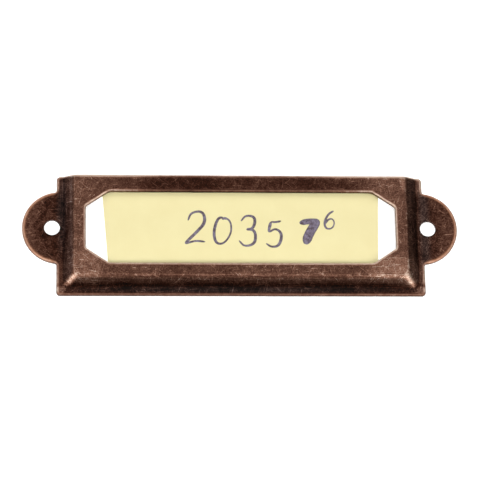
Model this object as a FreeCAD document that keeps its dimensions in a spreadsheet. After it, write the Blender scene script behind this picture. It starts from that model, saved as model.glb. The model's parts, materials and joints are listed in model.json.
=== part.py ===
import FreeCAD, Part
import Sketcher
import math
import os

# Label frame for a drawer front: one pressed sheet with a card resting behind its window.
# It lies on its back. X runs along the length, Y towards the open top edge, Z out of the front.
# The origin is midway between the two screw holes, on the mounting plane.

doc = FreeCAD.newDocument("label_frame_pull")

sizes = doc.addObject("Spreadsheet::Sheet", "Sizes")

# Driving sizes in millimetres
driving_sizes = [
    ("body_width", 92.7, "width of the flanged body, without the ears"),
    ("top_edge", 13.5, "hole line to the open top edge"),
    ("bottom_edge", 17.7, "hole line to the bottom edge of the flange"),
    ("outer_corner_radius", 0.9, "rounding of the four body corners in plan"),
    ("ear_length", 8.65, "how far an ear stands out of the body"),
    ("ear_radius", 9.4, "radius of the ear's round end"),
    ("ear_root_radius", 0.6, "small rounding where an ear leaves the body"),
    ("hole_offset", 1.15, "hole centre outside the body's side edge"),
    ("hole_diameter", 4.0, "plain punched screw hole"),
    ("sheet_thickness", 0.9, "thickness of the metal sheet"),
    ("side_flange", 1.6, "flat flange at each side, from its edge to the foot of the slope"),
    ("bottom_flange", 2.1, "flat flange along the bottom, from its edge to the foot of the slope"),
    ("panel_rise", 1.8, "height of the raised panel over the flange"),
    ("step_run", 2.6, "width of the slope in plan"),
    ("crest_radius", 3.0, "front radius of the bend between slope and panel"),
    ("bend_radius", 0.6, "radius on the hollow side of every pressed bend"),
    ("ridge_radius", 2.2, "front radius of the two ridges where slopes meet"),
    ("window_width", 78.1, "window along X"),
    ("window_height", 18.7, "window along Y"),
    ("window_drop", 0.28, "window centre below the hole line"),
    ("window_cut_width", 5.75, "cut window corner along X"),
    ("window_cut_height", 3.9, "cut window corner along Y"),
    ("window_end_radius", 0.9, "rounding at the window's end sides"),
    ("window_long_radius", 2.4, "rounding at the window's long sides"),
    ("edge_roll", 0.4, "rounding of the front edges left by the punch"),
    ("card_thickness", 0.25, "thickness of the paper card"),
    ("card_right_side", 34.4, "card's lower right corner from the middle"),
    ("card_right_skew", 0.9, "card's upper right corner further out than the lower one"),
    ("card_left_side", 33.0, "card's lower left corner from the middle"),
    ("card_left_skew", 2.15, "card's upper left corner further out than the lower one"),
    ("card_top_gap", 1.2, "card's top edge below the frame's open edge"),
    ("card_clearance", 0.1, "play between the card's bottom edge and the slope behind it"),
]
for row, (alias, value, note) in enumerate(driving_sizes, 1):
    sizes.set("A%d" % row, alias)
    sizes.set("B%d" % row, str(value))
    sizes.set("C%d" % row, note)
    sizes.setAlias("B%d" % row, alias)
doc.recompute()


def size(alias):
    return float(sizes.get(alias))


def point(x, y):
    return FreeCAD.Vector(x, y, 0)


def line(start, end):
    return Part.LineSegment(point(*start), point(*end))


def arc(centre, radius, start_angle, end_angle):
    circle = Part.Circle(point(*centre), FreeCAD.Vector(0, 0, 1), radius)
    return Part.ArcOfCircle(circle, start_angle, end_angle)


def sketch_in(body, name, height=None):
    sketch = body.newObject("Sketcher::SketchObject", name)
    plane = [item for item in body.Origin.OriginFeatures if item.Role == "XY_Plane"][0]
    sketch.AttachmentSupport = (plane, [""])
    sketch.MapMode = "FlatFace"
    if height:
        sketch.setExpression("AttachmentOffset.Base.z", height)
    return sketch


def bind(sketch, name, constraint, expression):
    index = sketch.addConstraint(constraint)
    sketch.renameConstraint(index, name)
    sketch.setExpression("Constraints." + name, expression)


def join_loop(sketch, count):
    for index in range(count):
        sketch.addConstraint(Sketcher.Constraint("Coincident", index, 2, (index + 1) % count, 1))


def rule(sketch, kind, *places):
    sketch.addConstraint(Sketcher.Constraint(kind, *places))


def box_sketch(body, name, height, half_width, low, high, half_width_text, low_text, high_text):
    # Rectangle about the Y axis: bottom, right, top and left side
    sketch = sketch_in(body, name, height)
    sketch.addGeometry(
        [
            line((-half_width, -low), (half_width, -low)),
            line((half_width, -low), (half_width, high)),
            line((half_width, high), (-half_width, high)),
            line((-half_width, high), (-half_width, -low)),
        ],
        False,
    )
    join_loop(sketch, 4)
    rule(sketch, "Symmetric", 0, 1, 0, 2, -2)
    rule(sketch, "Horizontal", 2)
    for index in (1, 3):
        rule(sketch, "Vertical", index)
    bind(sketch, "half_width", Sketcher.Constraint("DistanceX", -1, 1, 1, 1, half_width), half_width_text)
    bind(sketch, "low", Sketcher.Constraint("DistanceY", 0, 1, -1, 1, low), low_text)
    bind(sketch, "high", Sketcher.Constraint("DistanceY", -1, 1, 2, 1, high), high_text)
    return sketch


def face_names(feature, test):
    return ["Face%d" % (i + 1) for i, face in enumerate(feature.Shape.Faces) if test(face)]


def edge_names(feature, test):
    return ["Edge%d" % (i + 1) for i, edge in enumerate(feature.Shape.Edges) if test(edge)]


def faces_along(face, direction):
    if face.Surface.TypeId != "Part::GeomPlane":
        return False
    return (face.normalAt(0, 0) - FreeCAD.Vector(*direction)).Length < 1e-6


def near(a, b):
    return abs(a - b) < 1e-4


def rounding(body, name, base, edges, radius):
    feature = body.newObject("PartDesign::Fillet", name)
    feature.Base = (base, edges)
    feature.setExpression("Radius", radius)
    doc.recompute()
    return feature


def slope(body, name, base, walls, neutral, grows):
    # Leans the three walls of the step; the fourth, at the open edge, stays upright
    feature = body.newObject("PartDesign::Draft", name)
    feature.Base = (base, walls)
    feature.NeutralPlane = (base, neutral)
    feature.setExpression("Angle", "atan(Sizes.step_run / Sizes.panel_rise)")
    doc.recompute()
    wrong_way = feature.Shape.isNull() or (feature.Shape.Volume > base.Shape.Volume) != grows
    if wrong_way:
        feature.Reversed = True
        doc.recompute()
    return feature


half_body = size("body_width") / 2
top = size("top_edge")
bottom = -size("bottom_edge")
thickness = size("sheet_thickness")
rise = size("panel_rise")
front = thickness + rise
foot_x = half_body - size("side_flange")
foot_y = bottom + size("bottom_flange")

# Texts for places that several features share
half_body_text = "Sizes.body_width / 2"
foot_x_text = "Sizes.body_width / 2 - Sizes.side_flange"
foot_y_text = "Sizes.bottom_edge - Sizes.bottom_flange"
inset_text = "Sizes.sheet_thickness * tan(atan(Sizes.panel_rise / Sizes.step_run) / 2)"

frame = doc.addObject("PartDesign::Body", "label_frame")
frame.Label = "label_frame"

# Flat blank with a round ear at each end
ear_radius = size("ear_radius")
ear_x = half_body + size("ear_length") - ear_radius
ear_reach = math.sqrt(ear_radius**2 - (half_body - ear_x) ** 2)
ear_angle = math.atan2(ear_reach, half_body - ear_x)
outline = sketch_in(frame, "outline")
outline.addGeometry(
    [
        line((-half_body, bottom), (half_body, bottom)),
        line((half_body, bottom), (half_body, -ear_reach)),
        arc((ear_x, 0), ear_radius, -ear_angle, ear_angle),
        line((half_body, ear_reach), (half_body, top)),
        line((half_body, top), (-half_body, top)),
        line((-half_body, top), (-half_body, ear_reach)),
        arc((-ear_x, 0), ear_radius, math.pi - ear_angle, math.pi + ear_angle),
        line((-half_body, -ear_reach), (-half_body, bottom)),
    ],
    False,
)
join_loop(outline, 8)
for index in (1, 3, 5, 7):
    rule(outline, "Vertical", index)
rule(outline, "Symmetric", 0, 1, 0, 2, -2)
rule(outline, "Symmetric", 4, 1, 4, 2, -2)
rule(outline, "Equal", 0, 4)
rule(outline, "PointOnObject", 2, 3, -1)
rule(outline, "Symmetric", 2, 3, 6, 3, -2)
rule(outline, "Equal", 2, 6)
bind(outline, "width", Sketcher.Constraint("DistanceX", 0, 1, 0, 2, 2 * half_body), "Sizes.body_width")
bind(outline, "low", Sketcher.Constraint("DistanceY", 0, 1, -1, 1, -bottom), "Sizes.bottom_edge")
bind(outline, "high", Sketcher.Constraint("DistanceY", -1, 1, 4, 1, top), "Sizes.top_edge")
bind(outline, "ear_radius", Sketcher.Constraint("Radius", 2, ear_radius), "Sizes.ear_radius")
bind(
    outline,
    "ear_centre",
    Sketcher.Constraint("DistanceX", -1, 1, 2, 3, ear_x),
    half_body_text + " + Sizes.ear_length - Sizes.ear_radius",
)
doc.recompute()
blank = frame.newObject("PartDesign::Pad", "blank")
blank.Profile = outline
blank.setExpression("Length", "Sizes.sheet_thickness")
doc.recompute()

# Raised panel: sloped on three sides, cut straight at the open top edge
panel_sketch = box_sketch(
    frame,
    "panel_outline",
    "Sizes.sheet_thickness",
    foot_x,
    -foot_y,
    top,
    foot_x_text,
    foot_y_text,
    "Sizes.top_edge",
)
doc.recompute()
panel = frame.newObject("PartDesign::Pad", "panel")
panel.Profile = panel_sketch
panel.setExpression("Length", "Sizes.panel_rise")
doc.recompute()
panel_walls = face_names(
    panel,
    lambda f: f.CenterOfMass.z > thickness + rise / 4
    and any(faces_along(f, way) for way in ((1, 0, 0), (-1, 0, 0), (0, -1, 0))),
)
flange_top = face_names(panel, lambda f: faces_along(f, (0, 0, 1)) and near(f.CenterOfMass.z, thickness))
front_slope = slope(frame, "front_slope", panel, panel_walls, flange_top[:1], False)

# Hollow behind the panel, one sheet thickness inside it and open at the top edge
inset = thickness * math.tan(math.atan2(rise, size("step_run")) / 2)
hollow_x = foot_x - size("step_run") - inset
hollow_low = -foot_y - size("step_run") - inset
hollow_sketch = box_sketch(
    frame,
    "hollow_outline",
    None,
    hollow_x,
    hollow_low,
    top + thickness,
    foot_x_text + " - Sizes.step_run - " + inset_text,
    foot_y_text + " - Sizes.step_run - " + inset_text,
    "Sizes.top_edge + Sizes.sheet_thickness",
)
doc.recompute()
hollow = frame.newObject("PartDesign::Pocket", "hollow")
hollow.Profile = hollow_sketch
hollow.Reversed = True
hollow.setExpression("Length", "Sizes.panel_rise")
doc.recompute()
hollow_walls = face_names(
    hollow,
    lambda f: f.CenterOfMass.z < rise
    and abs(f.CenterOfMass.x) < foot_x - inset
    and f.CenterOfMass.y < top - inset
    and any(faces_along(f, way) for way in ((1, 0, 0), (-1, 0, 0), (0, 1, 0))),
)
hollow_ceiling = face_names(hollow, lambda f: faces_along(f, (0, 0, -1)) and near(f.CenterOfMass.z, rise))
back_slope = slope(frame, "back_slope", hollow, hollow_walls, hollow_ceiling[:1], False)


# Pressed bends, rounded on both faces of the sheet
def is_ridge(edge):
    if len(edge.Vertexes) != 2 or edge.Curve.TypeId != "Part::GeomLine":
        return False
    heights = sorted(v.Z for v in edge.Vertexes)
    return near(heights[1] - heights[0], rise) and edge.CenterOfMass.y < 0


def step_ring(feature, height):
    return edge_names(
        feature,
        lambda e: all(near(v.Z, height) for v in e.Vertexes)
        and abs(e.CenterOfMass.x) < foot_x + 1e-3
        and foot_y - 1e-3 < e.CenterOfMass.y < top - 1e-3,
    )


front_ridges = edge_names(back_slope, lambda e: is_ridge(e) and max(v.Z for v in e.Vertexes) > rise + 1e-3)
ridge_front = rounding(frame, "ridge_front", back_slope, front_ridges, "Sizes.ridge_radius")
back_ridges = edge_names(ridge_front, lambda e: is_ridge(e) and min(v.Z for v in e.Vertexes) < 1e-3)
bends = [
    ("ridge_back", lambda base: back_ridges, "Sizes.bend_radius"),
    ("crest_front", lambda base: step_ring(base, front), "Sizes.crest_radius"),
    ("crest_back", lambda base: step_ring(base, rise), "Sizes.bend_radius"),
    ("foot_front", lambda base: step_ring(base, thickness), "Sizes.bend_radius"),
    ("foot_back", lambda base: step_ring(base, 0), "Sizes.bend_radius + Sizes.sheet_thickness"),
]
pressing = ridge_front
for name, edges_of, radius in bends:
    pressing = rounding(frame, name, pressing, edges_of(pressing), radius)

# Window: a long rectangle with its four corners cut off
half_window = size("window_width") / 2
window_high = size("window_height") / 2 - size("window_drop")
window_low = size("window_height") / 2 + size("window_drop")
cut_x = half_window - size("window_cut_width")
cut_high = window_high - size("window_cut_height")
cut_low = window_low - size("window_cut_height")
window_points = [
    (-cut_x, -window_low),
    (cut_x, -window_low),
    (half_window, -cut_low),
    (half_window, cut_high),
    (cut_x, window_high),
    (-cut_x, window_high),
    (-half_window, cut_high),
    (-half_window, -cut_low),
]
window_sketch = sketch_in(frame, "window_outline")
window_sketch.addGeometry(
    [line(window_points[i], window_points[(i + 1) % 8]) for i in range(8)],
    False,
)
join_loop(window_sketch, 8)
for index in (2, 6):
    rule(window_sketch, "Vertical", index)
rule(window_sketch, "Symmetric", 0, 1, 0, 2, -2)
rule(window_sketch, "Symmetric", 4, 1, 4, 2, -2)
rule(window_sketch, "Symmetric", 2, 1, 6, 2, -2)
rule(window_sketch, "Equal", 0, 4)
rule(window_sketch, "Equal", 2, 6)
window_limits = [
    ("cut_x", "DistanceX", (-1, 1, 0, 2), cut_x, "Sizes.window_width / 2 - Sizes.window_cut_width"),
    ("side", "DistanceX", (-1, 1, 2, 1), half_window, "Sizes.window_width / 2"),
    ("low", "DistanceY", (0, 1, -1, 1), window_low, "Sizes.window_height / 2 + Sizes.window_drop"),
    ("high", "DistanceY", (-1, 1, 4, 1), window_high, "Sizes.window_height / 2 - Sizes.window_drop"),
    (
        "cut_low",
        "DistanceY",
        (2, 1, -1, 1),
        cut_low,
        "Sizes.window_height / 2 + Sizes.window_drop - Sizes.window_cut_height",
    ),
    (
        "cut_high",
        "DistanceY",
        (-1, 1, 2, 2),
        cut_high,
        "Sizes.window_height / 2 - Sizes.window_drop - Sizes.window_cut_height",
    ),
]
for name, kind, places, value, expression in window_limits:
    bind(window_sketch, name, Sketcher.Constraint(kind, *places, value), expression)
doc.recompute()
window = frame.newObject("PartDesign::Pocket", "window")
window.Profile = window_sketch
window.Reversed = True
window.Type = "ThroughAll"
doc.recompute()


def is_upright(edge):
    if len(edge.Vertexes) != 2 or edge.Curve.TypeId != "Part::GeomLine":
        return False
    a, b = (v.Point for v in edge.Vertexes)
    return near(a.x, b.x) and near(a.y, b.y)


end_corners = edge_names(window, lambda e: is_upright(e) and near(abs(e.CenterOfMass.x), half_window))
window_ends = rounding(frame, "window_ends", window, end_corners, "Sizes.window_end_radius")
long_corners = edge_names(
    window_ends,
    lambda e: is_upright(e)
    and near(abs(e.CenterOfMass.x), cut_x)
    and (near(e.CenterOfMass.y, window_high) or near(e.CenterOfMass.y, -window_low)),
)
window_longs = rounding(frame, "window_longs", window_ends, long_corners, "Sizes.window_long_radius")

# Screw hole in each ear
hole_x = half_body + size("hole_offset")
hole_sketch = sketch_in(frame, "hole_places")
hole_sketch.addGeometry(
    [
        Part.Circle(point(hole_x, 0), FreeCAD.Vector(0, 0, 1), size("hole_diameter") / 2),
        Part.Circle(point(-hole_x, 0), FreeCAD.Vector(0, 0, 1), size("hole_diameter") / 2),
    ],
    False,
)
rule(hole_sketch, "PointOnObject", 0, 3, -1)
rule(hole_sketch, "Symmetric", 0, 3, 1, 3, -2)
rule(hole_sketch, "Equal", 0, 1)
bind(
    hole_sketch,
    "hole_place",
    Sketcher.Constraint("DistanceX", -1, 1, 0, 3, hole_x),
    half_body_text + " + Sizes.hole_offset",
)
bind(
    hole_sketch,
    "hole_diameter",
    Sketcher.Constraint("Diameter", 0, size("hole_diameter")),
    "Sizes.hole_diameter",
)
doc.recompute()
holes = frame.newObject("PartDesign::Pocket", "screw_holes")
holes.Profile = hole_sketch
holes.Reversed = True
holes.Type = "ThroughAll"
doc.recompute()

# Corners of the blank in plan
body_corners = edge_names(
    holes,
    lambda e: is_upright(e)
    and near(abs(e.CenterOfMass.x), half_body)
    and (near(e.CenterOfMass.y, top) or near(e.CenterOfMass.y, bottom)),
)
corner_round = rounding(frame, "corner_round", holes, body_corners, "Sizes.outer_corner_radius")
ear_roots = edge_names(
    corner_round,
    lambda e: is_upright(e)
    and near(abs(e.CenterOfMass.x), half_body)
    and near(abs(e.CenterOfMass.y), ear_reach),
)
ear_root_round = rounding(frame, "ear_root_round", corner_round, ear_roots, "Sizes.ear_root_radius")


# Soft front edges all round the blank and round the window
def lean(face):
    u_start, u_end, v_start, v_end = face.ParameterRange
    return face.normalAt((u_start + u_end) / 2, (v_start + v_end) / 2).z


def front_rim(feature):
    names = []
    for index, edge in enumerate(feature.Shape.Edges):
        leans = [lean(face) for face in feature.Shape.ancestorsOfType(edge, Part.Face)]
        is_rim = any(near(value, 0) for value in leans) and any(value > 1e-3 for value in leans)
        middle = edge.CenterOfMass
        in_hole = near(math.hypot(abs(middle.x) - hole_x, middle.y), 0)
        if is_rim and not in_hole:
            names.append("Edge%d" % (index + 1))
    return names


soft_edges = rounding(frame, "soft_edges", ear_root_round, front_rim(ear_root_round), "Sizes.edge_roll")
frame.Tip = soft_edges
doc.recompute()

# Paper card, cut by hand, standing in the bottom of the hollow against the mounting plane
card = doc.addObject("PartDesign::Body", "label_card")
card.Label = "label_card"
card_low = -foot_y - inset - size("card_thickness") * size("step_run") / rise - size("card_clearance")
card_high = top - size("card_top_gap")
card_right = size("card_right_side")
card_left = size("card_left_side")
card_sketch = sketch_in(card, "card_outline")
card_sketch.addGeometry(
    [
        line((-card_left, -card_low), (card_right, -card_low)),
        line((card_right, -card_low), (card_right + size("card_right_skew"), card_high)),
        line((card_right + size("card_right_skew"), card_high), (-card_left - size("card_left_skew"), card_high)),
        line((-card_left - size("card_left_skew"), card_high), (-card_left, -card_low)),
    ],
    False,
)
join_loop(card_sketch, 4)
for index in (0, 2):
    rule(card_sketch, "Horizontal", index)
card_limits = [
    ("right_low", "DistanceX", (-1, 1, 1, 1), card_right, "Sizes.card_right_side"),
    (
        "right_high",
        "DistanceX",
        (-1, 1, 2, 1),
        card_right + size("card_right_skew"),
        "Sizes.card_right_side + Sizes.card_right_skew",
    ),
    ("left_low", "DistanceX", (0, 1, -1, 1), card_left, "Sizes.card_left_side"),
    (
        "left_high",
        "DistanceX",
        (3, 1, -1, 1),
        card_left + size("card_left_skew"),
        "Sizes.card_left_side + Sizes.card_left_skew",
    ),
    (
        "low",
        "DistanceY",
        (0, 1, -1, 1),
        card_low,
        foot_y_text
        + " - "
        + inset_text
        + " - Sizes.card_thickness * Sizes.step_run / Sizes.panel_rise - Sizes.card_clearance",
    ),
    ("high", "DistanceY", (-1, 1, 2, 1), card_high, "Sizes.top_edge - Sizes.card_top_gap"),
]
for name, kind, places, value, expression in card_limits:
    bind(card_sketch, name, Sketcher.Constraint(kind, *places, value), expression)
doc.recompute()
card_sheet = card.newObject("PartDesign::Pad", "card_sheet")
card_sheet.Profile = card_sketch
card_sheet.setExpression("Length", "Sizes.card_thickness")
card.Tip = card_sheet
doc.recompute()

# Both pieces are sound before they are written
for item in doc.Objects:
    if "Invalid" in item.State or "Error" in item.State:
        raise RuntimeError("feature failed: " + item.Name)
os.makedirs("parts", exist_ok=True)
for piece in (frame, card):
    shape = piece.Shape
    if shape.isNull() or not shape.isValid() or len(shape.Solids) != 1:
        raise RuntimeError("not one sound solid: " + piece.Label)
    shape.exportStep("parts/%s.step" % piece.Label)
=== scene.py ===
import json
import math

import bmesh
import bpy
from mathutils import Matrix, Vector, kdtree, noise


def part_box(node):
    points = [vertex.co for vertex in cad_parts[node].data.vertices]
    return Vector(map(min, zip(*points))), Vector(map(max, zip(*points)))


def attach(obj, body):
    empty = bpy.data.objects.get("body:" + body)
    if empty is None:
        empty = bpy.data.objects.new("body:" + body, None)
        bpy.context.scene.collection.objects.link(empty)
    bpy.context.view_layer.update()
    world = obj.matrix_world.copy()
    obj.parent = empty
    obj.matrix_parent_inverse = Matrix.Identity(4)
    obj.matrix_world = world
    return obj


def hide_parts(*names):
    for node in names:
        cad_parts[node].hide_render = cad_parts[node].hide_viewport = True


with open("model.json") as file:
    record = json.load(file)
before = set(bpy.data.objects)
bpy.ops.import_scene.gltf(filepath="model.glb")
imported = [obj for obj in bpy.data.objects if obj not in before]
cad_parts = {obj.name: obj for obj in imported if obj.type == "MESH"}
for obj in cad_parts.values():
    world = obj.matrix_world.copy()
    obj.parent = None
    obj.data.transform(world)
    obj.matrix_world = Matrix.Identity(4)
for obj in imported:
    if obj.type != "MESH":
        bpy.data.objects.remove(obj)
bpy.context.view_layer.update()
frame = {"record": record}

mm = 0.001
weld = 0.001 * mm  # points closer together than this are one point
cutSnap = 0.004 * mm  # a cut takes over the points that lie this near to it
sharpTurn = math.radians(50)  # edges that turn by more stay sharp
noiseMiddle = 0.5  # what a noise node's values vary about
frameLow, frameHigh = [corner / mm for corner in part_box("label_frame")]
cardLow, cardHigh = [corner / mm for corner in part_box("label_card")]
screwHoles = next(mount for mount in frame["record"]["mounts"] if mount["name"] == "screw_holes")["dims"]
holeX, holeRadius = screwHoles["spacing_x_mm"] / 2, screwHoles["hole_r_mm"]
print("packed frame loaded, length", round(frameHigh.x - frameLow.x, 2), "mm")


def linearColor(code):  # sRGB hex to the linear colour that the sockets take
    parts = [int(code[at:at + 2], 16) / 255 for at in (1, 3, 5)]
    return [c / 12.92 if c <= 0.04045 else ((c + 0.055) / 1.055) ** 2.4 for c in parts] + [1.0]


def addNode(tree, kind, settings=None, links=None):  # one node, its settings and what feeds it
    node = tree.nodes.new(kind)
    for name, value in (settings or {}).items():
        if name == "stops":
            ramp = node.color_ramp.elements
            while len(ramp) < len(value):
                ramp.new(0.5)
            for stop, (place, code) in zip(ramp, value):
                stop.position = place
                stop.color = linearColor(code)
        elif isinstance(name, str) and hasattr(node, name):
            setattr(node, name, value)
        else:
            node.inputs[name].default_value = value
    for name, source in (links or {}).items():
        tree.links.new(source, node.inputs[name])
    return node


def newMaterial(name):
    material = bpy.data.materials.new(name)
    material.use_nodes = True
    material.node_tree.nodes.clear()
    return material


def placeInMm(tree):  # Object coordinates in mm, so that the patterns are sized in mm
    place = addNode(tree, "ShaderNodeTexCoord").outputs["Object"]
    return addNode(tree, "ShaderNodeVectorMath", {"operation": "SCALE", "Scale": 1 / mm},
                   {0: place}).outputs[0]


def pullTo(shape, vert, x, y):  # next corner of an outline
    vert = bmesh.ops.extrude_vert_indiv(shape, verts=[vert])["verts"][0]
    vert.co = (x * mm, y * mm, 0)
    return vert


def thicken(shape, height):  # flat outline to a plate that stands on the plane
    if shape.faces[:][0].normal.z < 0:
        bmesh.ops.reverse_faces(shape, faces=shape.faces)
    raised = bmesh.ops.extrude_face_region(shape, geom=shape.faces[:])
    lifted = [part for part in raised["geom"] if isinstance(part, bmesh.types.BMVert)]
    bmesh.ops.translate(shape, verts=lifted, vec=(0, 0, height * mm))
    bmesh.ops.recalc_face_normals(shape, faces=shape.faces)


def gridPlaces(low, high, zones, coarse, fine):  # even places, closer together inside the zones
    places = [low + coarse * count for count in range(1, int((high - low) / coarse) + 1)]
    places = [p for p in places if p < high and not any(a < p < b for a, b in zones)]
    for a, b in zones:
        steps = round((b - a) / fine)
        places += [a + (b - a) * count / steps for count in range(steps + 1)]
    return [p for p in places if low < p < high]


def sliceAt(shape, axis, places):  # cuts right across, so that the shape can bend there
    for at in places:
        bmesh.ops.bisect_plane(shape, geom=shape.verts[:] + shape.edges[:] + shape.faces[:], dist=cutSnap,
                               plane_co=Vector(axis) * at * mm, plane_no=axis)


def shadeSmooth(shape):  # smooth all over, apart from the sharp edges
    for face in shape.faces:
        face.smooth = True
    for edge in shape.edges:
        edge.smooth = len(edge.link_faces) == 2 and edge.calc_face_angle() < sharpTurn


def makePiece(name, shape, material):  # bmesh to an object at the origin
    mesh = bpy.data.meshes.new(name)
    shape.to_mesh(mesh)
    shape.free()
    mesh.materials.append(material)
    piece = bpy.data.objects.new(name, mesh)
    bpy.context.scene.collection.objects.link(piece)
    return piece


# Antique copper: steel sheet plated with copper, blackened in a bath and rubbed back with a pad.
# The eye gets a dark red-brown satin metal with blotches left by the bath, fine hairs from the pad, light
# copper where edges and bends were rubbed through, and black left in the foot of the bend. Painted light and
# shade lie over it: highlights on rims and ridges, shade in the foot and along the window, grey reflection in
# places.
antiqueCopper = {
    # the ramp's light end is rubbed copper, and also the colour of the painted highlights on rims and ridges
    "patina": [(0.0, "#120d0b"), (0.22, "#2e170f"), (0.5, "#53382d"), (0.75, "#7d5a4a"), (1.0, "#b8a08f")],
    "plain": 0.50,  # place on the patina ramp of an average spot of the raised panel
    "flange": (-0.5, 0.15),  # mm from the foot line, and how much less was rubbed off out there
    "patterns": {  # size in mm, detail, roughness, strength
        "blotch": (6.0, 4.0, 0.6, 0.42),
        "mottle": (1.3, 2.0, 0.5, 0.38),
        "grain": (0.34, 3.0, 0.65, 0.90),  # drawn coarser than the real pits so that it shows
    },
    "hairSize": (3.2, 0.16, 2.0),  # mm along, across and deep, drawn wider than a real hair scratch
    "hairTurns": [4, 38, 71, 104, 139, 167],  # degrees
    "hairShift": (17.3, 9.1, 5.0),  # mm from the hairs of one turn to the next, so that none repeat
    "hairSway": (4.0, 1.0),  # mm, length and depth of the bends in a hair
    "hairCut": (0.72, 0.84),  # noise values at which a hair starts to show and is full
    "hair": 0.30,  # lightening
    "dragSize": (0.30, 6.0),  # mm across and along, streaks that the press and the pad drew on the step
    "dragFade": 0.6,  # mm past the step where they end
    "drag": 0.55,  # strength
    "stainsAndPaintedLight": [  # middle and reach in mm, darkening; real stains and wear, and painted light and shade as marked below
        # top bar, darkened in blotches, with a painted highlight along its open edge
        ((0.0, 11.0, 2.7), (38.0, 4.6, 6.0), 0.23),
        ((-15.0, 11.5, 2.7), (13.0, 5.0, 6.0), 0.08),
        ((0.0, 13.5, 2.7), (90.0, 1.2, 6.0), -0.12),
        # long edges of the window: painted shade on the top edge; on the bottom edge a painted shadow line at
        # the card and a painted highlight on the roll
        ((0.0, 9.07, 2.7), (44.0, 0.8, 6.0), 0.14),
        ((0.0, -9.6, 2.5), (40.0, 0.34, 6.0), 0.25),
        ((0.0, -10.0, 2.7), (36.0, 0.38, 6.0), -0.10),
        # bottom bar, a little darker, with its two corners lighter: rubbed, and painted highlight where the
        # ridges start
        ((-8.0, -11.6, 2.7), (52.0, 3.2, 6.0), 0.06),
        ((-40.0, -11.4, 2.7), (7.0, 5.5, 6.0), -0.12),
        ((39.6, -12.0, 2.7), (9.0, 5.3, 6.0), -0.17),
        # bottom slope, with a dark and a light line under its crest: painted light and shade
        ((0.0, -13.27, 2.4), (44.0, 0.38, 8.0), 0.07),
        ((0.0, -13.7, 2.1), (44.0, 0.35, 8.0), -0.06),
        ((0.0, -13.95, 2.2), (90.0, 1.0, 8.0), -0.04),
        # bottom flange, darker, with painted highlights at its two corners where the ridges end
        ((0.0, -16.2, 1.0), (90.0, 2.4, 8.0), 0.17),
        ((-45.1, -16.2, 0.9), (1.5, 1.3, 6.0), -0.36),
        ((45.1, -16.2, 0.9), (1.5, 1.3, 6.0), -0.34),
        # left side from its crest to its flange, lighter and darker bands of painted light and shade
        ((-42.15, 1.0, 2.6), (0.45, 9.0, 6.0), 0.09),
        ((-42.5, 11.0, 2.4), (1.0, 5.0, 6.0), -0.10),
        ((-42.8, 2.0, 2.2), (0.6, 12.0, 6.0), -0.05),
        ((-44.4, -4.0, 1.2), (2.2, 6.0, 6.0), -0.05),
        ((-45.8, 4.0, 0.9), (1.8, 6.0, 6.0), 0.05),
        # right side from its crest to its flange, lighter and darker bands of painted light and shade
        ((41.2, 12.2, 2.7), (0.9, 3.2, 6.0), -0.15),
        ((40.9, -6.0, 2.7), (1.5, 5.0, 6.0), 0.05),
        ((41.9, -6.0, 2.6), (0.7, 5.0, 6.0), 0.06),
        ((45.3, 2.0, 0.9), (1.6, 14.0, 6.0), -0.06),
        ((45.3, 11.5, 0.9), (1.6, 3.4, 6.0), -0.16),
        # ears, round their holes
        ((-47.0, 0.0, 0.9), (5.5, 12.0, 6.0), 0.10),
        ((47.0, 0.0, 0.9), (5.5, 12.0, 6.0), 0.08),
    ],
    "spotEdge": 0.45,  # share of the reach over which a spot fades out
    "foot": (-1.6, 0.1, 2.6, 0.11),  # outer end, blackest place and inner end in mm, darkening: black left in the bend, and painted shade there
    "patch": (1.1111, 5.0, 0.75),  # size in mm, detail and roughness of the patches rubbed bare
    "patchCut": (0.36, 0.62),  # noise values at which a patch starts to show and is full
    "patchLeft": 0.65,  # share of the rubbing between the patches on rims and ridges
    "rim": (0.65, 0.59, 0.71),  # reach in mm, lightening of the body's rims and of the ears': rubbed copper and painted highlight
    "crest": (0.22, 0.38, 0.20),  # mm inside the step's upper line, reach in mm, lightening
    "ridge": (2.0, 0.29),  # reach in mm, lightening: rubbed copper and painted highlight on the ridges
    "bareCopper": ("#a8704f", 0.5),  # what the pad uncovered on the ears' rims, and its share
    "paintedGreyReflection": [  # middle and reach in mm, share of the greying: a painted grey reflection on the dark metal
        ((-45.2, 4.0, 1.2), (1.7, 16.0, 8.0), 0.8),
        ((0.0, -16.3, 0.9), (60.0, 1.3, 8.0), 0.95),
        ((46.6, 2.0, 0.9), (2.2, 40.0, 8.0), 0.8),
    ],
    "greyEdge": 0.9,  # share of the reach over which the grey fades out
    "greySaturation": 0.62,
    "roughness": [(0.1, 0.46), (0.8, 0.34)],  # at these places on the patina ramp, blackened and rubbed bare
    "bump": 0.30,
    "pitDepth": 0.03,  # mm
    "hairDepth": 0.4,  # share of a pit's depth
}


def spotMask(tree, inMm, middle, reach, edge):  # ellipsoid with a soft edge, 1 inside and 0 outside
    spot = addNode(tree, "ShaderNodeMapping", {"vector_type": "TEXTURE", "Location": middle, "Scale": reach},
                   {"Vector": inMm}).outputs[0]
    spot = addNode(tree, "ShaderNodeTexGradient", {"gradient_type": "SPHERICAL"},
                   {"Vector": spot}).outputs["Fac"]
    return addNode(tree, "ShaderNodeMapRange",
                   {"interpolation_type": "SMOOTHSTEP", "From Min": 0.0, "From Max": edge},
                   {"Value": spot}).outputs[0]


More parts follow.
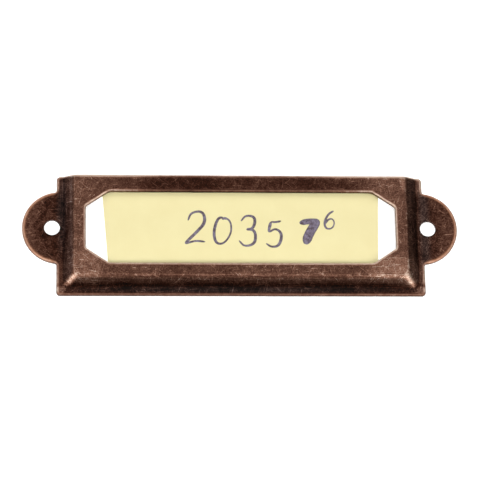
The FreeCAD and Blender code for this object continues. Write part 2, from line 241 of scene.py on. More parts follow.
def padHairs(tree, values, inMm):  # thin stretched noise at several turns, bent a little
    swayLength, swayDepth = values["hairSway"]
    sway = addNode(tree, "ShaderNodeTexNoise", {"Scale": 1 / swayLength, "Detail": 1.0},
                   {"Vector": inMm}).outputs["Color"]
    swayed = addNode(tree, "ShaderNodeVectorMath",
                     {"operation": "MULTIPLY_ADD", 1: (swayDepth, swayDepth, 0.0)},
                     {0: sway, 2: inMm}).outputs[0]
    shows, full = values["hairCut"]
    hairs = None
    for count, turn in enumerate(values["hairTurns"]):
        lane = addNode(tree, "ShaderNodeMapping",
                       {"vector_type": "TEXTURE", "Location": [step * count for step in values["hairShift"]],
                        "Rotation": (0, 0, math.radians(turn)), "Scale": values["hairSize"]},
                       {"Vector": swayed}).outputs[0]
        hair = addNode(tree, "ShaderNodeTexNoise", {"Scale": 1.0, "Detail": 0.0},
                       {"Vector": lane}).outputs["Fac"]
        hair = addNode(tree, "ShaderNodeMapRange",
                       {"interpolation_type": "SMOOTHSTEP", "From Min": shows, "From Max": full},
                       {"Value": hair}).outputs[0]
        if hairs is None:
            hairs = hair
        else:
            hairs = addNode(tree, "ShaderNodeMath", {"operation": "MAXIMUM"}, {0: hairs, 1: hair}).outputs[0]
    return hairs


def stepStreaks(tree, values, inMm, depth, stepRun):  # streaks along the bends, on the step only
    parts = addNode(tree, "ShaderNodeSeparateXYZ", {}, {0: inMm}).outputs
    along = addNode(tree, "ShaderNodeMath", {"operation": "ADD"}, {0: parts["X"], 1: parts["Y"]}).outputs[0]
    lane = addNode(tree, "ShaderNodeCombineXYZ", {}, {"X": depth, "Y": along}).outputs[0]
    lane = addNode(tree, "ShaderNodeMapping", {"vector_type": "TEXTURE", "Scale": (*values["dragSize"], 1.0)},
                   {"Vector": lane}).outputs[0]
    drag = addNode(tree, "ShaderNodeTexNoise", {"Scale": 1.0, "Detail": 2.0},
                   {"Vector": lane}).outputs["Fac"]
    drag = addNode(tree, "ShaderNodeMath", {"operation": "SUBTRACT", 1: noiseMiddle}, {0: drag}).outputs[0]
    offStep = addNode(tree, "ShaderNodeMath", {"operation": "SUBTRACT", 1: stepRun / 2},
                      {0: depth}).outputs[0]
    offStep = addNode(tree, "ShaderNodeMath", {"operation": "ABSOLUTE"}, {0: offStep}).outputs[0]
    onStep = addNode(tree, "ShaderNodeMapRange",
                     {"interpolation_type": "SMOOTHSTEP", "From Min": stepRun + values["dragFade"],
                      "From Max": stepRun / 2, "To Max": values["drag"]}, {"Value": offStep}).outputs[0]
    return addNode(tree, "ShaderNodeMath", {"operation": "MULTIPLY"}, {0: drag, 1: onStep}).outputs[0]


def footBlackAndShade(tree, values, depth, ridgeGap):  # black in the foot of the bend, with painted shade; fades out over the flange, up the slope and on the ridges
    outer, blackest, inner, darkening = values["foot"]
    foot = addNode(tree, "ShaderNodeMapRange",
                   {"interpolation_type": "SMOOTHSTEP", "From Max": values["ridge"][0], "To Max": -darkening},
                   {"Value": ridgeGap}).outputs[0]
    for end in (outer, inner):
        near = addNode(tree, "ShaderNodeMapRange",
                       {"interpolation_type": "SMOOTHSTEP", "From Min": end, "From Max": blackest},
                       {"Value": depth}).outputs[0]
        foot = addNode(tree, "ShaderNodeMath", {"operation": "MULTIPLY"}, {0: foot, 1: near}).outputs[0]
    return foot


def rubBareAndPaintHighlights(tree, values, inMm, wearAndPaintedLight, onRim, onEar, crestGap, ridgeGap):  # in patches on rims and bends, with painted highlights on the rims and ridges
    size, detail, roughness = values["patch"]
    shows, full = values["patchCut"]
    patch = addNode(tree, "ShaderNodeTexNoise", {"Scale": 1 / size, "Detail": detail, "Roughness": roughness},
                    {"Vector": inMm}).outputs["Fac"]
    patch = addNode(tree, "ShaderNodeMapRange", {"From Min": shows, "From Max": full},
                    {"Value": patch}).outputs[0]
    uneven = addNode(tree, "ShaderNodeMapRange", {"To Min": values["patchLeft"]}, {"Value": patch}).outputs[0]
    bodyRim, earRim = values["rim"][1:]
    lightening = addNode(tree, "ShaderNodeMapRange", {"To Min": bodyRim, "To Max": earRim},
                         {"Value": onEar}).outputs[0]
    lightening = addNode(tree, "ShaderNodeMath", {"operation": "MULTIPLY"},
                         {0: lightening, 1: uneven}).outputs[0]
    wearAndPaintedLight = addNode(tree, "ShaderNodeMath", {"operation": "MULTIPLY_ADD"},
                     {0: onRim, 1: lightening, 2: wearAndPaintedLight}).outputs[0]
    for gap, (reach, amount), shape in ((crestGap, values["crest"][1:], patch),
                                        (ridgeGap, values["ridge"], uneven)):
        near = addNode(tree, "ShaderNodeMapRange",
                       {"interpolation_type": "SMOOTHSTEP", "From Min": reach, "From Max": 0.0},
                       {"Value": gap}).outputs[0]
        near = addNode(tree, "ShaderNodeMath", {"operation": "MULTIPLY"}, {0: near, 1: shape}).outputs[0]
        wearAndPaintedLight = addNode(tree, "ShaderNodeMath", {"operation": "MULTIPLY_ADD", 1: amount},
                         {0: near, 2: wearAndPaintedLight}).outputs[0]
    return wearAndPaintedLight


def copperColor(tree, values, inMm, wearAndPaintedLight, onRim, offRim, onEar):  # patina, bare copper, painted grey reflection
    color = addNode(tree, "ShaderNodeValToRGB", {"stops": values["patina"]}, {"Fac": wearAndPaintedLight}).outputs["Color"]
    code, share = values["bareCopper"]
    bare = addNode(tree, "ShaderNodeMath", {"operation": "MULTIPLY"}, {0: onRim, 1: onEar}).outputs[0]
    bare = addNode(tree, "ShaderNodeMath", {"operation": "MULTIPLY", 1: share}, {0: bare}).outputs[0]
    color = addNode(tree, "ShaderNodeMix", {"data_type": "RGBA", 7: linearColor(code)},
                    {0: bare, 6: color}).outputs[2]  # 6 and 7 are the two colours
    warm = offRim
    for middle, reach, amount in values["paintedGreyReflection"]:
        spot = spotMask(tree, inMm, middle, reach, values["greyEdge"])
        spot = addNode(tree, "ShaderNodeMath", {"operation": "MULTIPLY_ADD", 1: -amount, 2: 1.0},
                       {0: spot}).outputs[0]
        warm = addNode(tree, "ShaderNodeMath", {"operation": "MULTIPLY"}, {0: warm, 1: spot}).outputs[0]
    grey = addNode(tree, "ShaderNodeMath", {"operation": "SUBTRACT"}, {0: offRim, 1: warm}).outputs[0]
    return addNode(tree, "ShaderNodeHueSaturation", {"Saturation": values["greySaturation"]},
                   {"Fac": grey, "Color": color}).outputs[0]


def copperMaterial(values, stepRun):
    material = newMaterial("antique_copper_rubbed_with_painted_light")
    tree = material.node_tree
    inMm = placeInMm(tree)
    depth, rimGap, ridgeGap, onEar = [
        addNode(tree, "ShaderNodeAttribute", {"attribute_name": name}).outputs["Fac"]
        for name in ("pressDepth", "rimGap", "ridgeGap", "earShare")]
    crestGap = addNode(tree, "ShaderNodeMath", {"operation": "SUBTRACT", 1: stepRun + values["crest"][0]},
                       {0: depth}).outputs[0]
    crestGap = addNode(tree, "ShaderNodeMath", {"operation": "ABSOLUTE"}, {0: crestGap}).outputs[0]
    nearRim = addNode(tree, "ShaderNodeMapRange",
                      {"interpolation_type": "SMOOTHSTEP", "From Min": values["rim"][0], "From Max": 0.0},
                      {"Value": rimGap}).outputs[0]
    onRim = addNode(tree, "ShaderNodeMath", {"operation": "MULTIPLY"}, {0: nearRim, 1: nearRim}).outputs[0]
    offRim = addNode(tree, "ShaderNodeMath", {"operation": "SUBTRACT", 0: 1.0}, {1: nearRim}).outputs[0]

    # how far the black was rubbed back, with painted light and shade added: one number that the colour and
    # the gloss follow
    flangeAt, flangeLess = values["flange"]
    wearAndPaintedLight = addNode(tree, "ShaderNodeMapRange",
                     {"interpolation_type": "SMOOTHSTEP", "From Min": flangeAt, "From Max": stepRun,
                      "To Min": values["plain"] - flangeLess, "To Max": values["plain"]},
                     {"Value": depth}).outputs[0]
    for middle, reach, amount in values["stainsAndPaintedLight"]:
        spot = spotMask(tree, inMm, middle, reach, values["spotEdge"])
        wearAndPaintedLight = addNode(tree, "ShaderNodeMath", {"operation": "MULTIPLY_ADD", 1: -amount},
                         {0: spot, 2: wearAndPaintedLight}).outputs[0]

    # the fine patterns, fading out on the rims where the pad took everything off
    hairs = padHairs(tree, values, inMm)
    fine = stepStreaks(tree, values, inMm, depth, stepRun)
    fine = addNode(tree, "ShaderNodeMath", {"operation": "MULTIPLY_ADD", 1: values["hair"]},
                   {0: hairs, 2: fine}).outputs[0]
    patterns = {}
    for name, (size, detail, roughness, amount) in values["patterns"].items():
        patterns[name] = addNode(tree, "ShaderNodeTexNoise",
                                 {"Scale": 1 / size, "Detail": detail, "Roughness": roughness},
                                 {"Vector": inMm}).outputs["Fac"]
        centred = addNode(tree, "ShaderNodeMath", {"operation": "SUBTRACT", 1: noiseMiddle},
                          {0: patterns[name]}).outputs[0]
        fine = addNode(tree, "ShaderNodeMath", {"operation": "MULTIPLY_ADD", 1: amount},
                       {0: centred, 2: fine}).outputs[0]
    wearAndPaintedLight = addNode(tree, "ShaderNodeMath", {"operation": "MULTIPLY_ADD"},
                     {0: fine, 1: offRim, 2: wearAndPaintedLight}).outputs[0]
    foot = footBlackAndShade(tree, values, depth, ridgeGap)
    wearAndPaintedLight = addNode(tree, "ShaderNodeMath", {"operation": "ADD"}, {0: foot, 1: wearAndPaintedLight}).outputs[0]
    wearAndPaintedLight = rubBareAndPaintHighlights(tree, values, inMm, wearAndPaintedLight, onRim, onEar, crestGap, ridgeGap)

    color = copperColor(tree, values, inMm, wearAndPaintedLight, onRim, offRim, onEar)
    (black, dull), (bare, glossy) = values["roughness"]
    rough = addNode(tree, "ShaderNodeMapRange",
                    {"From Min": black, "From Max": bare, "To Min": dull, "To Max": glossy},
                    {"Value": wearAndPaintedLight}).outputs[0]
    height = addNode(tree, "ShaderNodeMath", {"operation": "MULTIPLY_ADD", 1: -values["hairDepth"]},
                     {0: hairs, 2: patterns["grain"]}).outputs[0]
    bump = addNode(tree, "ShaderNodeBump", {"Strength": values["bump"], "Distance": values["pitDepth"] * mm},
                   {"Height": height}).outputs[0]
    skin = addNode(tree, "ShaderNodeBsdfPrincipled", {"Metallic": 1.0},
                   {"Base Color": color, "Roughness": rough, "Normal": bump})
    addNode(tree, "ShaderNodeOutputMaterial", {}, {"Surface": skin.outputs[0]})
    return material


# The frame is made as the real one is: a flat blank is cut with its ears, holes and window, its front
# edges are rolled, and then the press lifts the middle along three sides.
pressedFrame = {  # mm
    "bodyWidth": 92.7,
    "earRadius": 9.4,
    "sheet": 0.9,
    "windowWidth": 78.1,
    "windowHeight": 18.7,
    "windowDrop": 0.28,
    "windowCut": (5.75, 3.9),
    "cornerRadius": 0.9,
    "earRootRadius": 0.6,
    "windowEndRadius": 0.9,
    "windowLongRadius": 2.4,
    "edgeRoll": 0.4,
    "holeBreak": 0.08,
    "sideFlange": 1.6,
    "bottomFlange": 2.1,
    "stepRun": 2.6,
    "crestRadius": 3.0,
    "bendRadius": 0.6,
    "ridgeBlend": 2.4,
    "steps": {"ear": 20, "hole": 24, "earRoot": 4, "corner": 6, "roll": 5, "break": 2},  # segments in an arc
    "coarsePitch": 1.0,
    "finePitch": 0.2,
    "bendMargin": 1.2,  # how far past the step the fine grid goes
    "holeMargin": 0.2,  # what lies this near to a hole's edge belongs to the hole
    "rollRub": (0.6, 4.0),  # share of the roll that the pad reached, and how fast the rubbing ends below it; with the painted highlight gone, the lower wall stays dark as painted shade
    "earRub": (1.0, 0.28),  # from the body to the full ear, and how much further in the rubbing and painted highlight go there
    "ridgeShift": 0.3,  # from the mitre line to the middle of the rubbing and painted highlight on a ridge
    "ridgeLean": (0.0, 0.5),  # left and right ridge, how far the rubbing and painted highlight lean to the front
    "ridgeFan": (0.15, 0.5),  # left and right ridge, how much wider it gets towards the foot
    "ridgeEnd": (0.3, 2.2),  # how far inside the step it starts to end, how much faster it ends at the foot
    "depthRange": (-6.0, 12.0),  # the finish is even past these depths
}


def nearHole(values, place):
    return math.hypot(abs(place.x) - holeX, place.y) < holeRadius + values["holeMargin"]


def swingRound(blank, vert, x, turn, steps):  # arc about a point on the screw line
    spun = bmesh.ops.spin(blank, geom=[vert], cent=(x * mm, 0, 0), axis=(0, 0, 1),
                          angle=math.radians(turn), steps=steps)
    return spun["geom_last"][0]


def roundCorner(blank, vert, radius, steps):
    sides = [edge.other_vert(vert).co - vert.co for edge in vert.link_edges]
    half = sides[0].angle(sides[1]) / 2
    bmesh.ops.bevel(blank, geom=[vert], offset=radius * mm / math.tan(half), offset_type="OFFSET",
                    segments=steps, profile=0.5, affect="VERTICES", material=-1, clamp_overlap=False)


def cutQuarter(blank, values, side, outer):  # side is 1 above the screw line and -1 below it
    halfBody = values["bodyWidth"] / 2
    earX = frameHigh.x - values["earRadius"]
    windowX = values["windowWidth"] / 2
    windowY = side * values["windowHeight"] / 2 - values["windowDrop"]
    cutX, cutY = values["windowCut"]
    earTurn = math.degrees(math.acos((halfBody - earX) / values["earRadius"]))
    steps = values["steps"]

    tip = bmesh.ops.create_vert(blank, co=(frameHigh.x * mm, 0, 0))["vert"][0]
    root = swingRound(blank, tip, earX, side * earTurn, steps["ear"])
    corner = pullTo(blank, root, halfBody, outer)
    vert = pullTo(blank, corner, 0, outer)
    vert = pullTo(blank, vert, 0, windowY)
    longCorner = pullTo(blank, vert, windowX - cutX, windowY)
    endCorner = pullTo(blank, longCorner, windowX, windowY - side * cutY)
    vert = pullTo(blank, endCorner, windowX, 0)
    vert = pullTo(blank, vert, holeX - holeRadius, 0)
    vert = swingRound(blank, vert, holeX, -side * 180, steps["hole"])
    bmesh.ops.contextual_create(blank, geom=[vert, tip])
    loop = {tip}
    walk = [tip]
    while walk:  # all points of this outline
        for edge in walk.pop().link_edges:
            for other in edge.verts:
                if other not in loop:
                    loop.add(other)
                    walk.append(other)
    edges = {edge for vert in loop for edge in vert.link_edges}
    bmesh.ops.contextual_create(blank, geom=list(edges))
    roundCorner(blank, root, values["earRootRadius"], steps["earRoot"])
    roundCorner(blank, corner, values["cornerRadius"], steps["corner"])
    roundCorner(blank, longCorner, values["windowLongRadius"], steps["corner"])
    roundCorner(blank, endCorner, values["windowEndRadius"], steps["corner"])


def cutBlank(values):
    blank = bmesh.new()
    cutQuarter(blank, values, 1, frameHigh.y)
    cutQuarter(blank, values, -1, frameLow.y)
    bmesh.ops.remove_doubles(blank, verts=blank.verts, dist=weld)
    bmesh.ops.mirror(blank, geom=blank.verts[:] + blank.edges[:] + blank.faces[:], merge_dist=weld, axis="X")
    bmesh.ops.remove_doubles(blank, verts=blank.verts, dist=weld)
    bmesh.ops.recalc_face_normals(blank, faces=blank.faces)
    print("blank cut:", len(blank.faces), "faces,", len(blank.verts), "points")
    thicken(blank, values["sheet"])
    return blank


def rollEdges(blank, values):  # a roll on the front edges, and only a small break on the holes
    rims, holes = [], []
    for edge in blank.edges:
        onFront = all(vert.co.z > values["sheet"] / 2 * mm for vert in edge.verts)
        if onFront and edge.calc_face_angle() > sharpTurn:
            middle = (edge.verts[0].co + edge.verts[1].co) / 2 / mm
            (holes if nearHole(values, middle) else rims).append(edge)
    for edges, offset, steps in ((rims, values["edgeRoll"], values["steps"]["roll"]),
                                 (holes, values["holeBreak"], values["steps"]["break"])):
        edges = [edge for edge in edges if edge.is_valid]
        bmesh.ops.bevel(blank, geom=edges, offset=offset * mm, offset_type="OFFSET", segments=steps,
                        profile=0.5, affect="EDGES", material=-1, clamp_overlap=False)
    print("edges rolled:", len(blank.faces), "faces")


def cutGrid(blank, values, footX, footY):  # fine where the press will bend the sheet
    margin = values["bendMargin"]
    inner, outer = values["stepRun"] + margin, -margin
    zonesX = [(footX - inner, footX - outer), (outer - footX, inner - footX)]
    zonesY = [(footY + outer, footY + inner)]
    coarse, fine = values["coarsePitch"], values["finePitch"]
    sliceAt(blank, (1, 0, 0), gridPlaces(frameLow.x, frameHigh.x, zonesX, coarse, fine))
    sliceAt(blank, (0, 1, 0), gridPlaces(frameLow.y, frameHigh.y, zonesY, coarse, fine))
    print("grid cut:", len(blank.faces), "faces")


def liftAt(depth, run, rise, footRadius, crestRadius):  # height of the step at a depth from its foot line
    slope = math.atan2(rise, run)
    footLength = footRadius * math.tan(slope / 2)
    crestLength = crestRadius * math.tan(slope / 2)
    if depth <= -footLength:
        return 0.0
    if depth >= run + crestLength:
        return rise
    if depth < -footLength + footRadius * math.sin(slope):
        return footRadius - math.sqrt(footRadius ** 2 - (depth + footLength) ** 2)
    if depth > run + crestLength - crestRadius * math.sin(slope):
        return rise - crestRadius + math.sqrt(crestRadius ** 2 - (run + crestLength - depth) ** 2)
    return depth * rise / run


def findRims(blank, values):  # the rolled edges, for measuring how far a point is from them
    low, high = weld / mm, values["sheet"] - weld / mm
    places = [vert.co / mm for vert in blank.verts]
    rolled = [place for place in places if low < place.z < high and not nearHole(values, place)]
    rims = kdtree.KDTree(len(rolled))
    for count, place in enumerate(rolled):
        rims.insert((place.x, place.y, 0), count)
    rims.balance()
    return rims


def pressSheet(blank, values, footX, footY):  # lifts the middle, and notes for the finish where points lie
    sheet, run, bend = values["sheet"], values["stepRun"], values["bendRadius"]
    rise = frameHigh.z - sheet
    backShift = sheet * math.tan(math.atan2(rise, run) / 2)
    rims = findRims(blank, values)
    rimGap, pressDepth, ridgeGap, earShare = [
        blank.verts.layers.float.new(name) for name in ("rimGap", "pressDepth", "ridgeGap", "earShare")]
    rollShare, rollFade = values["rollRub"]
    earFade, earRub = values["earRub"]
    ridgeEnd, footFade = values["ridgeEnd"]
    outermost, innermost = values["depthRange"]
    for vert in blank.verts:
        x, y, z = vert.co / mm
        fromSide = footX - abs(x)
        fromBottom = y - footY
        offMitre = fromSide - fromBottom
        blend = max(values["ridgeBlend"] - abs(offMitre), 0) / values["ridgeBlend"]
        depth = min(fromSide, fromBottom) - blend * blend * values["ridgeBlend"] / 4  # rounds the ridges
        front = liftAt(depth, run, rise, bend, values["crestRadius"])
        back = liftAt(depth - backShift, run, rise, bend + sheet, bend)
        share = z / sheet
        vert.co.z = (z + share * front + (1 - share) * back) * mm

        onEar = min(max(abs(x) - values["bodyWidth"] / 2, 0.0) / earFade, 1.0)
        below = max(0.0, sheet - rollShare * values["edgeRoll"] - z)
        vert[earShare] = onEar
        vert[rimGap] = rims.find((x, y, 0))[2] * (1 - earRub * onEar) + rollFade * below
        vert[pressDepth] = max(outermost, min(innermost, depth))
        lean = values["ridgeLean"][x > 0] * max(0.0, run - fromBottom)
        fan = 1 + values["ridgeFan"][x > 0] * min(max(0.0, run - depth) / run, 1.0)
        vert[ridgeGap] = (abs(offMitre - values["ridgeShift"] - lean) / fan
                          + footFade * max(0.0, ridgeEnd - depth) + max(0.0, depth - run + ridgeEnd))
    openEdges = sum(len(edge.link_faces) != 2 for edge in blank.edges)
    print("pressed:", len(blank.verts), "points, open edges", openEdges)


def buildFrame(values):
    footX = values["bodyWidth"] / 2 - values["sideFlange"]
    footY = frameLow.y + values["bottomFlange"]
    blank = cutBlank(values)
    rollEdges(blank, values)
    cutGrid(blank, values, footX, footY)
    pressSheet(blank, values, footX, footY)
    shadeSmooth(blank)
    piece = makePiece("pressed_frame", blank, copperMaterial(antiqueCopper, values["stepRun"]))
    even = piece.modifiers.new("evenShading", "WEIGHTED_NORMAL")
    even.keep_sharp = True
    return piece


framePiece = buildFrame(pressedFrame)
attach(framePiece, "root")
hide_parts("label_frame")


# Index card: dyed wood-pulp paper, calendered smooth. The eye gets an even pale yellow with faint fibres
# and clouding, and no gloss.
indexCard = {  # mm
    "rightSide": 34.4,
    "rightSkew": 0.9,
    "leftSide": 33.0,
    "leftSkew": 2.15,
    "pitch": 1.0,
    "swell": 0.03,
    "swellRate": 0.06,  # swells in a mm
    "swellSeed": 3.7,
    "clouds": [(0.3, "#d7cc99"), (0.7, "#dad09e")],
    "cloudSize": 7.0,
    "fibreSize": 0.3,  # drawn coarser than real fibres
    "fibreShare": 0.3,  # how much the fibres add to the clouding
    "fibreDepth": 0.01,
    "bump": 0.25,
    "roughness": 0.85,
}


def cardMaterial(values):
    material = newMaterial("index_card_paper_calendered")
    tree = material.node_tree
    inMm = placeInMm(tree)
    cloud = addNode(tree, "ShaderNodeTexNoise", {"Scale": 1 / values["cloudSize"], "Detail": 3.0},
                    {"Vector": inMm}).outputs["Fac"]
    fibre = addNode(tree, "ShaderNodeTexNoise",
                    {"Scale": 1 / values["fibreSize"], "Detail": 3.0, "Roughness": 0.6, "Distortion": 1.5},
                    {"Vector": inMm}).outputs["Fac"]
    centred = addNode(tree, "ShaderNodeMath", {"operation": "SUBTRACT", 1: noiseMiddle},
                      {0: fibre}).outputs[0]
    shade = addNode(tree, "ShaderNodeMath", {"operation": "MULTIPLY_ADD", 1: values["fibreShare"]},
                    {0: centred, 2: cloud}).outputs[0]
    color = addNode(tree, "ShaderNodeValToRGB", {"stops": values["clouds"]}, {"Fac": shade}).outputs["Color"]
    bump = addNode(tree, "ShaderNodeBump",
                   {"Strength": values["bump"], "Distance": values["fibreDepth"] * mm},
                   {"Height": fibre}).outputs[0]
    skin = addNode(tree, "ShaderNodeBsdfPrincipled", {"Roughness": values["roughness"]},
                   {"Base Color": color, "Normal": bump})
    addNode(tree, "ShaderNodeOutputMaterial", {}, {"Surface": skin.outputs[0]})
    return material


def cardSwell(x, y):  # mm that the card stands off the plane, never below it
    rate = indexCard["swellRate"]
    wave = noise.noise(Vector((x * rate, y * rate, indexCard["swellSeed"])))  # from -1 to 1
    return indexCard["swell"] * (1 + wave) / 2


def buildCard(values):
    card = bmesh.new()
    low, high = cardLow.y, cardHigh.y
    start = bmesh.ops.create_vert(card, co=(-values["leftSide"] * mm, low * mm, 0))["vert"][0]
    vert = pullTo(card, start, values["rightSide"], low)
    vert = pullTo(card, vert, values["rightSide"] + values["rightSkew"], high)
    vert = pullTo(card, vert, -values["leftSide"] - values["leftSkew"], high)
    bmesh.ops.contextual_create(card, geom=[vert, start])
    bmesh.ops.contextual_create(card, geom=card.edges[:])
    thicken(card, cardHigh.z)
    pitch = values["pitch"]
    sliceAt(card, (1, 0, 0), gridPlaces(cardLow.x, cardHigh.x, [], pitch, pitch))
    sliceAt(card, (0, 1, 0), gridPlaces(low, high, [], pitch, pitch))
    for vert in card.verts:
        vert.co.z += cardSwell(vert.co.x / mm, vert.co.y / mm) * mm
    shadeSmooth(card)
    print("card:", len(card.faces), "faces")
    return makePiece("paper_card", card, cardMaterial(values))


cardPiece = buildCard(indexCard)
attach(cardPiece, "root")
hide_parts("label_card")


# Pen numbers on the card: ballpoint ink, dried into the paper. The eye gets matt grey-violet strokes,
# streaky, thicker where the pen goes down and thin at their ends.
penNumbers = {
    "ink": [(0.36, "#45363f"), (0.64, "#746b7e")],
    "streakSize": 0.8333,  # mm
    "roughness": 0.6,
    "penWidth": 0.66,  # mm
    "height": 0.02,  # mm above the card
    "softEdge": 0.05,  # mm
    "slant": 0.14,
    "press": (0.8, 1.3),  # share of the pen's width on level strokes and on strokes straight down
    "strokeEnd": (0.22, 0.3),  # mm inside an end from where the stroke thins out, and share left there
    "roundSteps": 3,  # how finely a stroke is rounded
    "runSteps": 10,  # how finely its path is drawn
    "strokes": {  # each number in a box of 1 by 1
        "2": [[(0.02, 0.76), (0.15, 1.04), (0.8, 1.1), (1.0, 0.7), (0.55, 0.36), (0.0, 0.0), (0.02, -0.04),
               (0.5, 0.06), (1.05, 0.02)]],
        "0": [[(0.7, 0.95), (0.15, 1.08), (-0.1, 0.45), (0.1, -0.08), (0.65, -0.1), (1.08, 0.35), (1.0, 0.85),
               (0.6, 1.04), (0.42, 0.94)]],
        "3": [[(0.05, 0.86), (0.35, 1.1), (1.0, 1.02), (0.9, 0.56), (0.35, 0.55), (1.02, 0.54), (1.1, 0.0),
               (0.4, -0.12), (0.0, 0.12)]],
        "5": [[(0.95, 1.02), (0.6, 0.97), (0.22, 0.98)],
              [(0.24, 0.98), (0.16, 0.74), (0.12, 0.52), (0.6, 0.72), (1.1, 0.48), (0.95, -0.04), (0.4, -0.1),
               (0.0, 0.06)]],
        "7": [[(0.0, 0.9), (0.5, 0.98), (1.02, 0.96), (0.98, 0.9), (0.62, 0.45), (0.45, 0.0)]],
        "6": [[(0.85, 1.02), (0.3, 0.8), (-0.05, 0.3), (0.15, -0.12), (0.8, -0.12), (1.05, 0.25),
               (0.75, 0.55), (0.3, 0.46), (0.08, 0.2)]],
    },
    "places": [  # number, left, foot, width, height in mm, pen weight
        ("2", -13.9, -3.6, 4.6, 7.6, 1.0),
        ("0", -6.8, -3.4, 3.9, 6.2, 0.9),
        ("3", -0.6, -3.9, 3.9, 6.9, 0.95),
        ("5", 6.3, -4.2, 3.6, 6.2, 0.95),
        ("7", 14.4, -4.0, 4.2, 6.2, 2.9),
        ("6", 21.2, 0.6, 2.5, 4.2, 0.72),
    ],
}


def inkMaterial(values):
    material = newMaterial("ballpoint_ink_dried")
    tree = material.node_tree
    inMm = placeInMm(tree)
    streak = addNode(tree, "ShaderNodeTexNoise",
                     {"Scale": 1 / values["streakSize"], "Detail": 4.0, "Roughness": 0.6},
                     {"Vector": inMm}).outputs["Fac"]
    color = addNode(tree, "ShaderNodeValToRGB", {"stops": values["ink"]}, {"Fac": streak}).outputs["Color"]
    skin = addNode(tree, "ShaderNodeBsdfPrincipled", {"Roughness": values["roughness"]},
                   {"Base Color": color})
    addNode(tree, "ShaderNodeOutputMaterial", {}, {"Surface": skin.outputs[0]})
    return material


def drawStroke(lines, values, route, weight):  # one line of the pen, route in mm
    light, heavy = values["press"]
    inside, thin = values["strokeEnd"]
    route.insert(1, route[0] + inside * weight * (route[1] - route[0]).normalized())
    route.insert(-1, route[-1] + inside * weight * (route[-2] - route[-1]).normalized())
    last = len(route) - 1
    spline = lines.splines.new("NURBS")
    spline.points.add(last)
    for count, place in enumerate(route):
        run = route[min(count + 1, last)] - route[max(count - 1, 0)]
        pressed = light + (heavy - light) * max(0.0, -run.normalized().y)
        point = spline.points[count]
        point.co = (place.x * mm, place.y * mm, 0, 1)
        point.radius = weight * pressed * (thin if count in (0, last) else 1.0)
    spline.order_u = 3
    spline.use_endpoint_u = True
    spline.resolution_u = values["runSteps"]


def buildNumbers(values):
    lines = bpy.data.curves.new("penLines", "CURVE")
    lines.dimensions = "3D"
    lines.bevel_depth = values["penWidth"] / 2 * mm
    lines.bevel_resolution = values["roundSteps"]
    lines.use_fill_caps = True
    for number, left, footLine, width, height, weight in values["places"]:
        for stroke in values["strokes"][number]:
            route = [Vector((left + (x + values["slant"] * y) * width, footLine + y * height))
                     for x, y in stroke]
            drawStroke(lines, values, route, weight)
    holder = bpy.data.objects.new("penLines", lines)
    drawn = bpy.data.meshes.new_from_object(holder)
    marks = bmesh.new()
    marks.from_mesh(drawn)
    bpy.data.objects.remove(holder)
    bpy.data.curves.remove(lines)
    bpy.data.meshes.remove(drawn)
    bmesh.ops.remove_doubles(marks, verts=marks.verts, dist=weld)
    bmesh.ops.recalc_face_normals(marks, faces=marks.faces)
    for vert in marks.verts:  # flattened so that thick and thin strokes lie equally high
        x, y, z = vert.co / mm
        vert.co.z = (cardHigh.z + cardSwell(x, y) + values["height"] * z / (abs(z) + values["softEdge"])) * mm
    for face in marks.faces:
        face.smooth = True
    print("pen numbers:", len(marks.faces), "faces")
    return makePiece("pen_numbers", marks, inkMaterial(values))


numbersPiece = buildNumbers(penNumbers)
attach(numbersPiece, "root")


# Studio: pale floor and white walls, a large soft box overhead, a low strip behind, a dim cool box at the
# left, two soft boxes in front, and one for the card that the metal doesn't mirror
studio = {
    "floorSize": 4.0,  # m
    "floorDrop": 0.02,  # mm below the mounting plane
    "floorColor": "#f4f3f1",
    "floorRoughness": 0.9,
    "floorGlow": 0.45,
    "surround": 0.10,  # brightness of the room above the walls
    "wall": 1.0,
    "wallRight": 0.4,  # the right wall stands in shade
    "wallShade": (-0.4, 0.6),  # from left to right, where that shade starts and is full
    "wallTop": (0.05, 0.30),  # sine of the angle above the table where the walls end
    "lights": [  # name, place and size in m, watts, colour, whether the metal mirrors it
        ("back", (0.0, 1.0, 0.17), (1.60, 0.20), 5.0, "#ffffff", True),
        ("leftFill", (-0.83, 0.30, 0.45), (0.50, 0.50), 0.60, "#d2e2ff", True),
        ("overhead", (0.0, 0.0, 0.80), (1.20, 1.20), 6.9, "#ffffff", True),
        ("frontLeft", (-0.475, -0.36, 0.73), (0.40, 0.40), 1.9, "#ffffff", True),
        ("frontRight", (0.447, -0.456, 0.70), (0.40, 0.40), 1.9, "#ffffff", True),
        ("cardFill", (0.0, -0.40, 0.85), (0.80, 0.30), 2.9, "#ffffff", False),
    ],
}


def floorMaterial(values):
    material = newMaterial("painted_floor_matt")
    tree = material.node_tree
    pale = linearColor(values["floorColor"])
    skin = addNode(tree, "ShaderNodeBsdfPrincipled",
                   {"Base Color": pale, "Roughness": values["floorRoughness"],
                    "Emission Color": pale, "Emission Strength": values["floorGlow"]})
    addNode(tree, "ShaderNodeOutputMaterial", {}, {"Surface": skin.outputs[0]})
    return material


def buildFloor(values):
    ground = bmesh.new()
    bmesh.ops.create_grid(ground, x_segments=2, y_segments=2, size=values["floorSize"] / 2)
    bmesh.ops.translate(ground, verts=ground.verts, vec=(0, 0, -values["floorDrop"] * mm))
    floor = makePiece("studio_floor", ground, floorMaterial(values))


def buildLights(values):
    for name, place, (wide, deep), watts, code, mirrored in values["lights"]:
        lamp = bpy.data.lights.new(name, "AREA")
        lamp.shape = "RECTANGLE"
        lamp.size, lamp.size_y = wide, deep
        lamp.energy = watts
        lamp.color = linearColor(code)[:3]
        light = bpy.data.objects.new(name, lamp)
        light.location = place
        light.visible_glossy = mirrored
        light.rotation_euler = (-Vector(place)).to_track_quat("-Z", "Y").to_euler()
        bpy.context.scene.collection.objects.link(light)


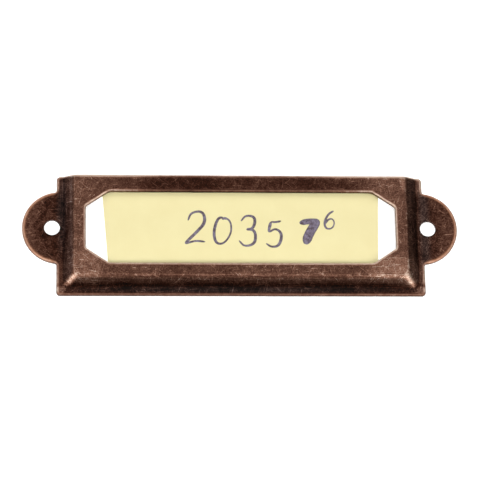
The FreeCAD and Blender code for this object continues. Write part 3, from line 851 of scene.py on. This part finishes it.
def buildWorld(values):
    world = bpy.data.worlds.new("studio")
    world.use_nodes = True
    tree = world.node_tree
    tree.nodes.clear()
    seen = addNode(tree, "ShaderNodeLightPath").outputs["Is Camera Ray"]
    facing = addNode(tree, "ShaderNodeTexCoord").outputs["Generated"]
    facing = addNode(tree, "ShaderNodeSeparateXYZ", {}, {0: facing}).outputs
    starts, full = values["wallShade"]
    side = addNode(tree, "ShaderNodeMapRange",
                   {"interpolation_type": "SMOOTHSTEP", "From Min": starts, "From Max": full,
                    "To Min": values["wall"], "To Max": values["wallRight"]},
                   {"Value": facing["X"]}).outputs[0]
    low, high = values["wallTop"]
    wall = addNode(tree, "ShaderNodeMapRange",
                   {"interpolation_type": "SMOOTHSTEP", "From Min": low, "From Max": high,
                    "To Max": values["surround"]}, {"Value": facing["Z"], "To Min": side}).outputs[0]
    room = addNode(tree, "ShaderNodeBackground", {"Color": linearColor("#ffffff")}, {"Strength": wall})
    pale = addNode(tree, "ShaderNodeBackground",
                   {"Color": linearColor(values["floorColor"]), "Strength": 1.0})
    both = addNode(tree, "ShaderNodeMixShader", {}, {0: seen, 1: room.outputs[0], 2: pale.outputs[0]})
    addNode(tree, "ShaderNodeOutputWorld", {}, {"Surface": both.outputs[0]})
    bpy.context.scene.world = world
    bpy.context.scene.view_settings.view_transform = "Standard"


buildFloor(studio)
buildLights(studio)
buildWorld(studio)
print("studio set")


# Camera: found from the outline, the holes and the bends in the picture, taken as 500 by 500
lookDown = {
    "tilt": 17.444,  # degrees from straight down
    "yaw": 4.381,
    "roll": 1.139,
    "aim": (-2.337, 5.257, 590.40),  # mm from the view's middle to the origin, across, up and away
    "lens": 168.34,  # mm
    "sensor": 36.0,  # mm
    "clip": (0.05, 20.0),  # m
}


def buildCamera(values):
    turn = (Matrix.Rotation(math.radians(values["roll"]), 3, "Z")
            @ Matrix.Rotation(-math.radians(values["tilt"]), 3, "X")
            @ Matrix.Rotation(math.radians(values["yaw"]), 3, "Y")).transposed()
    across, up, away = values["aim"]
    data = bpy.data.cameras.new("lookDown")
    data.sensor_width = values["sensor"]
    data.lens = values["lens"]
    data.clip_start, data.clip_end = values["clip"]
    camera = bpy.data.objects.new("lookDown", data)
    bpy.context.scene.collection.objects.link(camera)
    camera.matrix_world = Matrix.Translation(turn @ Vector((-across, -up, away)) * mm) @ turn.to_4x4()
    bpy.context.scene.camera = camera


buildCamera(lookDown)
print("camera set")
